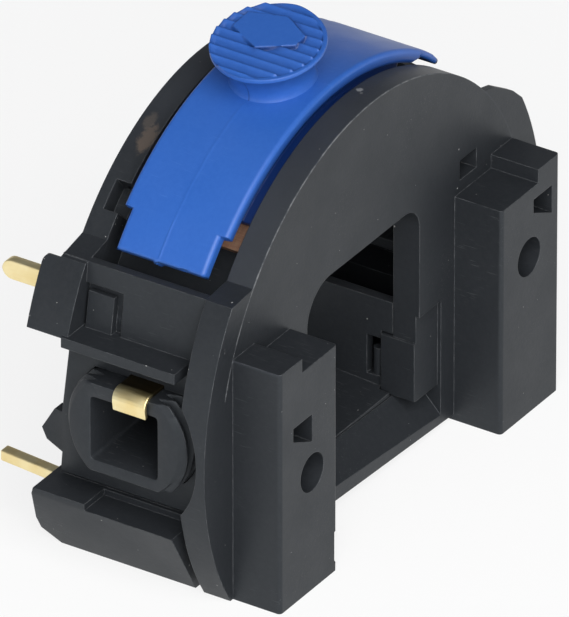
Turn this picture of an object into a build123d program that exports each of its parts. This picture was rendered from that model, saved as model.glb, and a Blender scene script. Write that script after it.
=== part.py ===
from build123d import *
from math import cos, sin, radians, hypot, atan2, degrees
import os

os.makedirs("parts", exist_ok=True)

# Frame: millimetres. The origin lies on the tool's motor axis, in the front
# plate's front face. +X runs across the arch, +Y along the motor axis away
# from the mounting pads, +Z up to the slider.

clearance = 0.1

# Arch and side plates
rimR = 19.85                        # rim under the slider
endR = rimR + 2.05                  # plates below the slider's stops
shoulderR = endR + 0.3              # the front plate's +X side
plateT = 2.2                        # thickness of the front plate
webT = 0.55                         # thin web in the front plate's +X shoulder
rearY0, rearY1 = 12.1, 14.15        # rear plate, near and far face
baseZ = -11.63                      # resting plane
stepLeft = 146.5                    # angle of the -X step between the radii

# Mounting pads on the front plate
padFront = -3.96
padEdge = endR - 3.67               # outer edge of both pads
padInner = (-10.9, 10.64)
padTop = 6.78
lipW, lipH = 2.8, 1.1               # raised lip on each pad's outer top edge
screwR = 1.5
screwAt = ((-14.14, -2.03), (14.26, 1.30))
pocketW, pocketD = 2.45, 2.4        # blind pockets with sloped floors
pocketFall = (1.1, 2.25)            # depth below the top on the two sides
pocketAt = ((-15.35, 2.74), (16.05, 5.72))

# Opening in the front plate
openTop, openLeft, openRight = 8.5, -8.6, 6.05
openStep, openStepX = -7.9, 8.9
sideWallT = 0.8
keyY, keyZ = (0.3, 3.1), (-7.84, -3.1)      # square key block beside it

# Slider: its cover bends about an axis a little to the -X side
coverShift = -0.35
coverR, coverT = rimR + 1.15, 1.05
coverY = (2.6, 11.25)
tabInset = 0.65                     # the end tabs are this much narrower
coverLow, tabLow, tabHigh, coverHigh = 49.8, 59.8, 133.5, 143.0
tipT, tipAngle = 0.45, 3.0          # the +X tab thins towards its tip
footR = (rimR - 1.4, rimR - 0.9)
footReach = 0.65
skirtT, skirtInset = 0.8, 0.45
skirtEnds = (tabLow + 5, tabHigh - 5)
travel = coverLow - (180 - coverHigh)
grooveEnd = (skirtEnds[0] - travel - 1.5, skirtEnds[1] + 1.5)
slideY = (coverY[0] + coverY[1]) / 2

# Knob: a thin disc with saw-tooth ridges and a smooth pad on a waisted neck
knobTilt = 101.5
knobLift, knobAside, knobY = 3.2, 1.865, 6.9
knobR, discT, ridgePitch, ridgeH = 4.18, 0.25, 0.9, 0.3
neckR = (3.15, 3.8)
padShape = ((2.1, 3.0), (2.85, 0.1), (1.55, -2.2), (0.35, -2.1), (-1.05, 0.45), (0.3, 3.2))

# Wiper spring, held on two stakes inside the cover
springR, springT = rimR + 0.07, 0.2
springY, springEnds = (4.2, 9.6), (95, 109)
armY = ((4.6, 5.4), (8.4, 9.2))
stakeR, stakeAt = 0.6, (98.0, 106.0)

# Speed board on the arch wall, with its two tracks
boardR, boardT, trackT = rimR - 1.65, 0.8, 0.07
boardY = (plateT + 0.12, rearY0 - 0.12)
boardEnds, trackEnds = (45.5, 134.5), (49, 131)
tracks = {"resistance_track": (4.3, 5.7), "collector_track": (8.1, 9.5)}
archR, archT = boardR - boardT - 0.05, 1.2
archEnds = (30, 150)

# Control board hung under the arch
controlY, controlT = (3.0, 11.3), 1.0
controlZ = openTop + 1.85
controlTop = controlZ + controlT
controlX = ((archR - archT - 0.06) ** 2 - controlTop ** 2) ** 0.5
ledgeX, ledgeW, ledgeT = controlX - 1.2, 3.4, 1.2

# Rear plate
windowW, windowH, windowZ, windowR = 17.2, 16.3, 0.7, 3.0
notchEnds, notchDepth = (129.0, 135.7), 1.2
rearTop, rearLow = 147.2, 161.7     # angles of the ends of its outer rim
ribT = 0.75

# End walls
wallX = endR - 2.9
panelX, panelTop = wallX - 0.9, 12.0
chamberFloor = (-8.4, -7.0)
shelfZ = (6.28, 7.1)
shelfX = endR - 0.9
recessY, recessTop, recessDepth = 9.0, 10.4, 0.5
bossPlateY, bossPlateTop = (9.7, 11.85), 9.85

# Brush guides: the +X guide sits higher, as its pad's holes do
bossY, bossZ, bossR = 7.3, 0.6, 5.1
bossRaise = (0.0, 2.9)
bossFace, bossRoot = endR - 0.9, endR - 4.3
guideEnd = (9.2, 11.5)
flatTop, flatBottom = 4.2, -2.9
guideY, guideZ = (4.5, 10.08), (-2.0, 3.1)
tubeWall = (0.95, 0.85)
threadTurns, threadDepth, threadShare = 4, 0.42, 0.55
threadPitch = (bossFace - bossRoot) / threadTurns
bayR = 6.8                          # bay round each guide in the front plate

# Contact clips on the guides
clipT, clipY = 0.3, (5.25, 8.0)
clipRoot, clipLip = 9.6, 2.85

# Lower blocks
blockTop, blockLip = -5.6, 0.5
blockFront, blockFoot, blockBack = endR - 0.4, endR - 3.5, 16.2
blockY = (3.0, 15.5)
reliefEnd = 10.3

# Locating lug on the far side of each end wall, as Y and Z
lug = ((14.8, -0.8), (15.85, -2.6), (15.45, -3.45))
lugRoot, lugX = (-0.85, -4.1), (endR - 4.5, endR - 3.5)

# Terminals, both on the -X side
bladeT, bladeX, bladeZ, bladeEnd = 0.8, 4.05 - endR, (8.5, 10.05), 19.2
pinT, pinX, pinEnd = 0.9, 3.7 - endR, 19.2
footY, footT, footIn = 12.5, 0.8, 15.3
pinRise = ((footY, -6.75), (14.6, -6.7), (pinEnd, -6.35))
pinHeight = 0.85

# Dowels that join the rear housing to the front plate
dowelR = 0.8
dowelAngles = ((rimR - 4.1, 143.3), (rimR - 3.44, 39.8))
dowelLow = (padEdge - 4.63, -8.8)

# Parts on the control board: triac, heat sink, capacitors, axial parts
triacAt, triacR, triacH, legPitch = (0, 7.9), 2.4, 3.7, 1.27
sinkW, sinkH, sinkT = 8.4, 3.9, 0.8
capacitors = {
    "timing_capacitor": (-0.807, -0.43, 3.6, 6.4),
    "suppression_capacitor": (-0.754, -0.43, 7.4, 10.4),
}
axials = {
    "trigger_diode": (0.75, 3.0, 4.6, False),
    "gate_resistor": (0.8, 3.2, 7.2, True),
    "charging_resistor": (0.8, 3.2, 9.8, True),
}
axialX, legW = 0.614 * controlX, 0.36


def at(r, a):
    # point at a radius and an angle about the motor axis, as X and Z
    return (r * cos(radians(a)), r * sin(radians(a)))


def slab(sketch, y0, y1):
    # a sketch drawn in X and Z, made solid from y0 to y1
    plane = Plane((0, y1, 0), x_dir=(1, 0, 0), z_dir=(0, -1, 0))
    return extrude(plane * sketch, amount=y1 - y0)


def bar(sketch, x0, x1):
    # a sketch drawn in Y and Z, made solid from x0 to x1
    plane = Plane((x0, 0, 0), x_dir=(0, 1, 0), z_dir=(1, 0, 0))
    return extrude(plane * sketch, amount=x1 - x0)


def box(x0, x1, y0, y1, z0, z1):
    size = (x1 - x0, y1 - y0, z1 - z0)
    centre = ((x0 + x1) / 2, (y0 + y1) / 2, (z0 + z1) / 2)
    return Pos(*centre) * Box(*size)


def sideBox(side, x0, x1, *rest):
    # box between two distances from the middle, on one side of it
    low, high = sorted((side * x0, side * x1))
    return box(low, high, *rest)


def polygon(*points):
    return make_face(Polyline(*points, close=True))


def sector(r0, r1, a0, a1):
    # ring sector in X and Z between two radii and two angles
    mid = (a0 + a1) / 2
    outer = ThreePointArc(at(r1, a0), at(r1, mid), at(r1, a1))
    inner = ThreePointArc(at(r0, a1), at(r0, mid), at(r0, a0))
    sides = Line(at(r1, a1), at(r0, a1)), Line(at(r0, a0), at(r1, a0))
    return make_face([outer, sides[0], inner, sides[1]])


def outline(*steps):
    # closed face from points; a step of three numbers is an arc about the
    # origin to the point at that radius and angle, swept through the third
    edges = []
    first = last = steps[0]
    for step in steps[1:]:
        if len(step) == 3:
            r, a, through = step
            edges.append(ThreePointArc(last, at(r, through), at(r, a)))
            last = at(r, a)
        else:
            edges.append(Line(last, step))
            last = step
    if hypot(last[0] - first[0], last[1] - first[1]) > 1e-6:
        edges.append(Line(last, first))
    return make_face(edges)


def rod(r, start, end):
    # round bar between two points
    a, b = Vector(*start), Vector(*end)
    way = b - a
    plane = Plane(a, z_dir=way)
    return extrude(plane * Circle(r), amount=way.length)


def save(shape, name):
    export_step(shape, f"parts/{name}.step")


def baseAngle(r):
    # angle at which a circle about the motor axis meets the resting plane
    return degrees(atan2(baseZ, (r ** 2 - baseZ ** 2) ** 0.5))


dowelAt = [at(*place) for place in dowelAngles]
dowelAt += [(side * dowelLow[0], dowelLow[1]) for side in (-1, 1)]


def frontPlate():
    foot = baseAngle(endR)
    face = outline(
        (-endR * cos(radians(foot)), baseZ),
        (endR, stepLeft, 180),
        at(rimR, 141.6),
        (rimR, 43, 90),
        at(rimR + 0.8, 39.7),
        at(rimR + 1.87, 32.6),
        at(shoulderR, 28.4),
        (shoulderR, baseAngle(shoulderR), 0),
        (padInner[1], baseZ),
        (padInner[1], baseZ + 0.48),
        (padInner[0], baseZ + 1.53),
        (padInner[0], baseZ),
    )
    plate = slab(face, 0, plateT)
    shoulder = [e for e in plate.edges().filter_by(Axis.Y)
                if e.center().X > rimR * 0.78 and e.center().Z > rimR * 0.5]
    plate = fillet(shoulder, 0.6)
    plate -= slab(frontOpening(), -1, plateT + 1)
    # ramp from the opening's sill up to the chamber floor
    low = Plane((openLeft, 0, 0), x_dir=(0, 1, 0), z_dir=(1, 0, 0))
    high = Plane((openStepX, 0, 0), x_dir=(0, 1, 0), z_dir=(1, 0, 0))
    rampA = low * polygon((0, -8.95), (plateT, -7.5), (plateT, -10.2), (0, -10.2))
    rampB = high * polygon((0, -10.35), (plateT, -8.0), (plateT, -11.05), (0, -11.05))
    plate += loft([rampA, rampB], ruled=True)
    # shallow relief beside the opening and the square key block behind it
    plate -= box(openRight - 0.5, openStepX, -1, keyY[0], openStep, -0.9)
    plate += box(openRight - 0.2, openRight + 1.3, *keyY, *keyZ)
    # small window over the +X pad
    plate -= box(11.3, 13.5, -1, plateT + 1, 7.8, 9.4)
    for side, inner in zip((-1, 1), padInner):
        plate += mountingPad(side, abs(inner))
    plate -= box(padInner[0] - 0.35, padInner[0] + 1, padFront - 1, -2.2, -11.0, -8.4)
    for x, z in screwAt:
        plate -= rod(screwR, (x, padFront - 1, z), (x, plateT + 1, z))
    for x, z in pocketAt:
        w = pocketW / 2
        pocket = polygon((x - w, z), (x + w, z), (x + w, z - pocketFall[1]),
                         (x - w, z - pocketFall[0]))
        plate -= slab(pocket, padFront - 1, padFront + pocketD)
    # bays for the brush caps, cut into the plate's round edge
    for side, raised in zip((-1, 1), bossRaise):
        centre = (bossY + 0.2, bossZ + raised - 0.1)
        plate -= rod(bayR, (side * (wallX - 0.1), *centre), (side * (endR + 2), *centre))
    # the +X shoulder is a thin web in the front face
    plate -= slab(sector(rimR, shoulderR + 2, 12, 44.5), webT, plateT + 1)
    # guide groove for the slider's near feet
    plate -= slab(sector(footR[0] - 0.15, footR[1] + 0.15, *grooveEnd),
                  plateT - footReach - 0.1, plateT + 1)
    # blind sockets for the rear housing's dowels
    for x, z in dowelAt:
        plate -= rod(dowelR + clearance / 2, (x, 0.9, z), (x, plateT + 1, z))
    return plate


def frontOpening():
    hole = polygon(
        (openLeft, openTop),
        (openRight, openTop),
        (openRight, openStep),
        (openStepX, openStep),
        (openStepX, -10.35),
        (openLeft, -8.95),
    )
    hole = fillet(hole.vertices().sort_by(Axis.Y)[-2:].sort_by(Axis.X)[0], 3.0)
    corner = [v for v in hole.vertices() if v.X > openRight - 0.01 and v.Y > openTop - 0.5]
    return fillet(corner, 2.0)


def mountingPad(side, inner):
    pad = sideBox(side, inner, padEdge, padFront, 0, baseZ, padTop)
    pad += sideBox(side, padEdge - lipW, padEdge, padFront, 0, padTop - 0.5, padTop + lipH)
    upright = [e for e in pad.edges().filter_by(Axis.Z)
               if e.center().Y < padFront + 0.1 and e.length > 5]
    return fillet(upright, 0.3)


def rearHousing():
    y0 = plateT + clearance / 2
    wide = wallX - 1.5
    face = outline(
        (-wide, baseZ + 0.6),
        (-wide, 6.3),
        at(endR, rearLow),
        (endR, rearTop, 155),
        at(rimR + 0.15, 141.5),
        (rimR, 180 - 141.6, 90),
        at(endR, 180 - rearTop),
        (endR, 180 - rearLow, 25),
        (wide, 6.3),
        (wide, baseZ + 0.6),
    )
    body = slab(face, rearY0, rearY1)
    body += slab(sector(archR - archT, archR, *archEnds), y0, rearY0 + 0.5)
    for side, raised in zip((-1, 1), bossRaise):
        body += endBay(side, raised)
    # chamber floor and side walls
    body += box(-wide, wide, y0, rearY0 + 0.5, *chamberFloor)
    body += box(openRight, openRight + sideWallT, y0, rearY0 + 0.5, chamberFloor[1] - 0.6, -0.4)
    body += box(openLeft - 1.5, openLeft, y0, rearY0 + 0.5, chamberFloor[1] - 0.6, -3.1)
    # clearance round the key block, and the slot with a peg beside it
    body -= box(openRight - 0.4, openRight + 1.6, 0, keyY[1] + clearance,
                keyZ[0] - 0.16, keyZ[1] + 0.15)
    body -= box(openRight - 1, openRight + 1.6, keyY[1], keyY[1] + 1.3, -6.8, -3.6)
    peg = (openRight + 0.45, keyY[1] + 0.55)
    body += rod(0.4, (*peg, -7.4), (*peg, -4.6))
    # ledges under the control board
    for side in (-1, 1):
        body += sideBox(side, ledgeX, ledgeX + ledgeW, y0, rearY0 + 0.5,
                        controlZ - ledgeT, controlZ)
    # rear opening for the motor's commutator
    window = Pos(0, windowZ) * RectangleRounded(windowW, windowH, windowR)
    body -= slab(window, rearY0 - 0.02, rearY1 + 1)
    # far guide groove for the slider's feet
    groove = sector(footR[0] - 0.15, footR[1] + 0.15, *grooveEnd)
    body -= slab(groove, rearY0 - 0.1, rearY0 + footReach + 0.1)
    # rim notch beside the slider
    body -= slab(sector(rimR - 1.45, rimR + 1.15, *notchEnds), rearY0 - 0.1, rearY0 + notchDepth)
    for cutter in terminalSeats():
        body -= cutter
    for x, z in dowelAt:
        body += rod(dowelR, (x, 1.0, z), (x, plateT + 2.6, z))
    return body


def endBay(side, raised):
    # one end of the housing, drawn at -X and mirrored for +X
    y0 = plateT + clearance / 2
    far = blockY[1]
    inner = wallX - 1.55
    # thin wall with a hollow behind its top, joined to the arch wall
    wall = polygon(
        (-panelX, panelTop), (0.25 - wallX, shelfZ[1]), (-wallX, shelfZ[0]),
        (-wallX, blockTop + 0.4), (0.4 - wallX, blockTop), (-blockBack, blockTop),
        (-blockBack, -8.2), (1 - blockBack, -8.2), (1 - blockBack, -4.6),
        (0.05 - inner, -4.2), (-inner, 6.1), at(archR - 0.6, 149.5),
        at(archR + 0.35, 147.5), (-inner - 0.05, 9.2), (0.65 - panelX, panelTop))
    bay = slab(wall, y0, rearY1)
    if raised == 0:
        bay += box(-shelfX, 1.4 - wallX, y0 + 0.8, rearY0 + 0.4, *shelfZ)
    # raised rib along the far rim, standing out behind the rear plate
    rib = outline(at(endR, rearLow), (endR, rearTop, 155),
                  at(endR - ribT, rearTop + 0.7), at(endR - ribT, rearLow - 0.6))
    soft = Pos(far - 5, 9) * RectangleRounded(10, 5.6, 0.55)
    bay += slab(rib, rearY0, far) & bar(soft, -endR - 1, 0)
    # boss plate standing in a recess of the end wall
    floor = recessDepth - wallX + 0.25
    recess = polygon((-endR, recessTop), (floor + 0.45, recessTop),
                     (floor, shelfZ[1]), (-endR, shelfZ[1]))
    bay -= slab(recess, recessY, rearY0)
    boss = polygon((1.0 - wallX, bossPlateTop), (0.6 - wallX, bossPlateTop),
                   (0.1 - wallX, shelfZ[1] - 0.2), (1.0 - wallX, shelfZ[1] - 0.2))
    bay += slab(boss, *bossPlateY)
    # lower block: sloped front, slanted far end, shallow relief on top
    foot = polygon((-blockBack, blockTop), (-blockFront, blockTop),
                   (-blockFront, blockTop - blockLip), (-blockFoot, baseZ),
                   (-blockBack, baseZ))
    block = slab(foot, blockY[0], far)
    trim = polygon(
        (far - 0.9, blockTop + 1), (far - 0.9, blockTop), (far, -9.2), (far, baseZ + 1.25),
        (far - 1.25, baseZ), (far - 1.25, baseZ - 1), (far + 3, baseZ - 1),
        (far + 3, blockTop + 1))
    block -= bar(trim, -endR - 2, 0)
    block -= box(-endR, 0.05 - wallX, 0, reliefEnd, blockTop - blockLip, blockTop + 1)
    bay += block
    # tapered locating lug on the far side
    root = rearY1 - 1
    tooth = polygon((root, lugRoot[0]), *lug, (rearY1, lugRoot[1]), (root, lugRoot[1]))
    bay += bar(tooth, -lugX[1], -lugX[0])
    bay += box(-lugX[0] - 0.2, -lugX[0] + 1.4, rearY0, rearY1, blockTop - 1, -4.0)
    # seat of the brush guide's threaded end
    z = bossZ + raised
    gap = clearance / 2
    disc = Pos(bossY, z) * Circle(bossR + gap)
    band = Pos(bossY, raised + (flatTop + flatBottom) / 2)
    band = band * Rectangle(16, flatTop - flatBottom + 2 * gap)
    bay -= bar(disc & band, -endR - 2, -14)
    # slot over the guide for the contact clip
    top = raised + flatTop
    bay -= box(-endR - 2, -9, clipY[0] - gap, clipY[1] + gap, top - 0.1, top + clipT + gap)
    if side > 0:
        bay = mirror(bay, about=Plane.YZ)
    return bay


def brushGuide(side, raised):
    # drawn at -X: threaded end with two flats, then a square tube, bored through
    z = bossZ + raised
    band = Pos(bossY, raised + (flatTop + flatBottom) / 2)
    band = band * Rectangle(16, flatTop - flatBottom)
    disc = Pos(bossY, z) * Circle(bossR) & band
    core = Pos(bossY, z) * Circle(bossR - threadDepth) & band
    wide, high = guideY[1] - guideY[0], guideZ[1] - guideZ[0]
    middle = ((guideY[0] + guideY[1]) / 2, raised + (guideZ[0] + guideZ[1]) / 2)
    tube = Pos(*middle) * Rectangle(wide + 2 * tubeWall[0], high + 2 * tubeWall[1]) & band
    bore = Pos(*middle) * Rectangle(wide, high)
    guide = bar(core, -bossFace, -bossRoot)
    for turn in range(threadTurns):
        x = -bossFace + turn * threadPitch
        guide += bar(disc, x, x + threadPitch * threadShare)
    guide += bar(tube, -bossRoot - 0.1, -guideEnd[0 if side < 0 else 1])
    guide -= bar(bore, -endR - 2, 0)
    if side > 0:
        guide = mirror(guide, about=Plane.YZ)
    return guide


def brushClip(side, raised):
    # strip along the top flat, folded down over the guide's face
    top, face = raised + flatTop + 0.02, -bossFace - 0.02
    lip = raised + clipLip
    side_ = polygon(
        (-clipRoot, top), (face, top), (face, lip), (face - clipT, lip),
        (face - clipT, top - 0.17), (face + 0.27, top + clipT), (-clipRoot, top + clipT))
    clip = slab(side_, *clipY)
    fold = [e for e in clip.edges().filter_by(Axis.Y)
            if e.center().X < face + 0.4 and e.center().Z > top - 0.3]
    clip = fillet([e for e in fold if e.center().X < face - 0.1
                   or e.center().Z > top + 0.2], 0.16)
    if side > 0:
        clip = mirror(clip, about=Plane.YZ)
    return clip


def upperTerminal():
    # flat blade with a round tip, on a foot inside the rear plate
    x0, x1 = bladeX - bladeT / 2, bladeX + bladeT / 2
    r = (bladeZ[1] - bladeZ[0]) / 2
    mid = sum(bladeZ) / 2
    blade = box(x0, x1, footY, bladeEnd - r, *bladeZ)
    blade += rod(r, (x0, bladeEnd - r, mid), (x1, bladeEnd - r, mid))
    blade += box(x1 - 0.1, -footIn, footY, footY + footT, *bladeZ)
    return blade


def lowerTerminal():
    # square pin that rises slightly outwards
    x0, x1 = pinX - pinT / 2, pinX + pinT / 2
    under = list(pinRise)
    over = [(y, z + pinHeight + 0.05 * (y == footY)) for y, z in reversed(pinRise)]
    pin = bar(polygon(*under, *over), x0, x1)
    tip = pin.edges().filter_by(Axis.X).sort_by(Axis.Y)[-2:]
    pin = chamfer(tip, 0.15)
    pin += box(x1 - 0.1, -footIn + 0.3, footY, footY + footT, pinRise[0][1], pinRise[0][1] + 0.9)
    return pin


def terminalSeats():
    # pockets in the rear plate for both terminals
    g = clearance / 2
    x0, x1 = bladeX - bladeT / 2 - g, bladeX + bladeT / 2 + g
    z0, z1 = bladeZ[0] - g, bladeZ[1] + g
    upper = box(x0, x1, footY - g, bladeEnd, z0, z1)
    upper += box(x1 - 0.2, -footIn + 2, footY - g, footY + footT + g, z0, z1)
    x0, x1 = pinX - pinT / 2 - g, pinX + pinT / 2 + g
    z0 = pinRise[0][1] - g
    lower = box(x0, x1, footY - g, pinEnd, z0, z0 + pinHeight + 0.5)
    lower -= box(x0 - 1, x1 + 1, footY - 1, pinRise[1][0], z0 + pinHeight + 0.16, 0)
    lower += box(x1 - 0.2, -footIn + 3, footY - g, footY + footT + g, z0, z0 + 1.0)
    return [upper, lower]


def coverSector(r0, r1, a0, a1):
    return Pos(coverShift, 0) * sector(r0, r1, a0, a1)


def speedSlider():
    inner = coverR - coverT
    tabY = (coverY[0] + tabInset, coverY[1] - tabInset)
    cover = slab(coverSector(inner, coverR, tabLow, tabHigh), *coverY)
    cover += slab(coverSector(inner, coverR, coverLow + tipAngle, tabLow + 1), *tabY)
    cover += slab(coverSector(inner, coverR, tabHigh - 1, coverHigh), *tabY)
    # the +X tab thins to a blunt tip
    mid = coverR - tipT / 2 - 0.15
    shift = Vector(coverShift, 0)
    tip = [at(coverR, coverLow + tipAngle), at(inner, coverLow + tipAngle),
           at(mid - tipT / 2, coverLow), at(mid + tipT / 2, coverLow)]
    cover += slab(Pos(coverShift, 0) * polygon(*tip), *tabY)
    # skirts with feet that run in the grooves of the two rims
    tall = sector(footR[0], rimR + 0.55, *skirtEnds)
    foot = sector(*footR, *skirtEnds)
    near, far = coverY[0] + skirtInset, coverY[1] - skirtInset
    skirts = slab(tall, near, near + skirtT) + slab(foot, plateT - footReach, near + skirtT)
    skirts += slab(tall, far - skirtT, far) + slab(foot, far - skirtT, rearY0 + footReach)
    # knob and stakes, trimmed where they would reach through the cover
    under = slab(Pos(coverShift, 0) * Circle(inner), *coverY)
    slider = cover + (speedKnob() - under)
    for a in stakeAt:
        slider += rod(stakeR, stakeEnd(rimR - 0.55, a), stakeEnd(coverR - 0.5, a))
    return slider + skirts


def stakeEnd(r, a):
    x, z = at(r, a)
    return (x, slideY, z)


def speedKnob():
    n = Vector(cos(radians(knobTilt)), 0, sin(radians(knobTilt)))
    across = Vector(n.Z, 0, -n.X)
    centre = n * (coverR + knobLift) + across * knobAside + Vector(0, knobY, 0)
    top = Plane(centre, x_dir=across, z_dir=n)
    knob = top * (Pos(0, 0, -ridgeH - discT / 2) * Cylinder(knobR, discT))
    # saw-tooth ridges along Y, cut to the disc's round edge
    section = Plane(centre + top.y_dir * (knobR + 1), x_dir=across, z_dir=-top.y_dir)
    barrel = top * Cylinder(knobR, 2)
    count = int(knobR / ridgePitch) + 1
    for k in range(-count, count + 1):
        s = k * ridgePitch
        tooth = polygon(
            (s, -ridgeH - 0.1), (s, -ridgeH), (s + ridgePitch * 0.82, 0),
            (s + ridgePitch * 0.98, -ridgeH), (s + ridgePitch, -ridgeH - 0.1))
        knob += extrude(section * tooth, amount=2 * knobR + 2) & barrel
    knob += extrude(top * Pos(0, 0, -ridgeH) * polygon(*padShape), amount=ridgeH)
    tall = knobLift + 0.3
    stem = Cone(neckR[0], neckR[1], tall)
    knob += top * (Pos(0, 0, -ridgeH - discT + 0.05 - tall / 2) * stem)
    return knob


def arcStrip(r0, r1, y0, y1, a0, a1):
    return slab(sector(r0, r1, a0, a1), y0, y1)


def wiperSpring():
    # bent leaf with two arms that press on the tracks
    leaf = arcStrip(springR - springT, springR, *springY, *springEnds)
    touch = boardR + trackT + 0.03
    mid = springR - springT / 2
    root = springEnds[0]
    for y0, y1 in armY:
        arm = polygon(
            at(mid + 0.09, root + 0.5), at(touch + 0.25, root - 7.5),
            at(touch, root - 8.5), at(touch + 0.25, root - 9.5),
            at(touch + 0.5, root - 9.3), at(touch + 0.28, root - 8.4),
            at(touch + 0.45, root - 7.6), at(mid - 0.09, root - 0.8), at(mid + 0.09, root - 0.4))
        leaf += slab(arm, y0, y1)
    for a in stakeAt:
        leaf -= rod(stakeR + 0.05, stakeEnd(rimR - 1, a), stakeEnd(rimR + 1, a))
    return leaf


def controlBoard():
    board = box(-controlX, controlX, *controlY, controlZ, controlTop)
    return fillet(board.edges().filter_by(Axis.Z), 0.6)


def triac():
    x, y = triacAt
    body = Circle(triacR) & Pos(0, -0.9) * Rectangle(2 * triacR + 1, 5.0)
    case = extrude(Pos(x, y, controlTop + 0.4) * body, amount=triacH)
    for k in (-1, 0, 1):
        leg = x + k * legPitch
        case += box(leg - 0.22, leg + 0.22, y - 0.3, y + 0.1, controlTop, controlTop + 0.6)
    return case


def heatSink():
    y = triacAt[1] + 1.6
    plate = box(-sinkW / 2, sinkW / 2, y, y + sinkT, controlTop, controlTop + sinkH)
    plate += box(-sinkW / 2, sinkW / 2, y, y + 2 * sinkT, controlTop, controlTop + sinkT)
    return plate


def boxCapacitor(left, right, y0, y1):
    # as tall as the arch leaves room for over its outer edge
    x0, x1 = left * controlX, right * controlX
    top = ((archR - archT - 0.02) ** 2 - x0 ** 2) ** 0.5
    case = box(x0, x1, y0, y1, controlTop, top)
    return fillet(case.edges().filter_by(Axis.Z), 0.35)


def axialPart(r, length, y, waisted):
    # bead, with waisted middle or plain, lying along X on two bent legs
    x, z, half = axialX, controlTop + r + 0.15, length / 2
    bead = rod(r * (0.82 if waisted else 1), (x - half, y, z), (x + half, y, z))
    w = legW / 2
    for end in (-1, 1):
        if waisted:
            a, b = sorted((x + end * half, x + end * (half - 1)))
            bead += rod(r, (a, y, z), (b, y, z))
        a, b = sorted((x + end * (half - 0.3), x + end * (half + 0.7)))
        bead += box(a, b, y - w, y + w, z - w, z + w)
        a, b = sorted((x + end * (half + 0.7 - legW), x + end * (half + 0.7)))
        bead += box(a, b, y - w, y + w, controlTop, z)
    return bead


save(frontPlate(), "front_plate")
save(rearHousing(), "rear_housing")
save(speedSlider(), "speed_slider")
save(wiperSpring(), "wiper_spring")
save(arcStrip(boardR - boardT, boardR, *boardY, *boardEnds), "speed_board")
for name, (y0, y1) in tracks.items():
    save(arcStrip(boardR, boardR + trackT, y0, y1, *trackEnds), name)
for side, name, raised in zip((-1, 1), ("left", "right"), bossRaise):
    save(brushGuide(side, raised), f"{name}_brush_guide")
    save(brushClip(side, raised), f"{name}_brush_clip")
save(upperTerminal(), "upper_terminal")
save(lowerTerminal(), "lower_terminal")
save(controlBoard(), "control_board")
save(triac(), "triac")
save(heatSink(), "heat_sink")
for name, place in capacitors.items():
    save(boxCapacitor(*place), name)
for name, place in axials.items():
    save(axialPart(*place), name)
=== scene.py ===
import bpy
import math
import numpy as np
from mathutils import Matrix, Vector


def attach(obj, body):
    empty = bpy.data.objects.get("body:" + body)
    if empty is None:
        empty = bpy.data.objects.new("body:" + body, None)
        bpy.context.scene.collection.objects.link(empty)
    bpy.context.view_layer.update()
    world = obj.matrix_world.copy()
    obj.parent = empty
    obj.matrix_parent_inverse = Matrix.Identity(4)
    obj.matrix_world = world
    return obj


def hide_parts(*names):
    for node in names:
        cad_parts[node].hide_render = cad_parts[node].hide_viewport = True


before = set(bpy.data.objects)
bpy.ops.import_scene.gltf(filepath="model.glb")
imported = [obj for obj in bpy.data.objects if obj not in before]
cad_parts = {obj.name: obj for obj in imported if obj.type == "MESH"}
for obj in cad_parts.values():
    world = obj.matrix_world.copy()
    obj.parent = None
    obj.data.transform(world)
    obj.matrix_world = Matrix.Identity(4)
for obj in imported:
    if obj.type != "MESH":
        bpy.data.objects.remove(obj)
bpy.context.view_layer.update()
mm = 0.001
print("frame loaded:", len(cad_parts), "solids")


# node helpers

def addNode(tree, kind, sockets=None, **options):
    # one shader node; sockets takes plain values or the outputs that feed them
    made = tree.nodes.new(kind)
    for key, value in options.items():
        setattr(made, key, value)
    for key, value in (sockets or {}).items():
        if isinstance(value, bpy.types.NodeSocket):
            tree.links.new(value, made.inputs[key])
        else:
            made.inputs[key].default_value = value
    return made


def maths(tree, operation, a, b=0.0):
    return addNode(tree, "ShaderNodeMath", {0: a, 1: b}, operation=operation).outputs[0]


def product(tree, *values):
    result = values[0]
    for value in values[1:]:
        result = maths(tree, "MULTIPLY", result, value)
    return result


def span(tree, value, low, high, outLow=0.0, outHigh=1.0):
    # straight-line remap, held at both ends
    made = addNode(tree, "ShaderNodeMapRange", {
        "Value": value, "From Min": low, "From Max": high,
        "To Min": outLow, "To Max": outHigh})
    return made.outputs["Result"]


def blendColour(tree, share, a, b):
    # colour a where share is 0, b where it is 1; sockets 6 and 7 are the two colours
    made = addNode(tree, "ShaderNodeMix", data_type="RGBA")
    for key, value in ((0, share), (6, a), (7, b)):
        if isinstance(value, bpy.types.NodeSocket):
            tree.links.new(value, made.inputs[key])
        else:
            made.inputs[key].default_value = value if key == 0 else (*value, 1)
    return made.outputs[2]


def stretched(tree, place, stretch, turn=(0, 0, 0)):
    made = addNode(tree, "ShaderNodeMapping", {
        "Vector": place, "Scale": stretch, "Rotation": turn})
    return made.outputs[0]


def noise(tree, place, scale, detail=3.0, roughness=0.55):
    made = addNode(tree, "ShaderNodeTexNoise", {
        "Vector": place, "Scale": scale, "Detail": detail, "Roughness": roughness})
    return made.outputs["Fac"]


def newMaterial(name):
    made = bpy.data.materials.new(name)
    made.use_nodes = True
    tree = made.node_tree
    surface = tree.nodes["Principled BSDF"]
    place = addNode(tree, "ShaderNodeTexCoord").outputs["Object"]
    return made, tree, surface, place


def setSockets(surface, values):
    for key, value in values.items():
        surface.inputs[key].default_value = value


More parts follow.
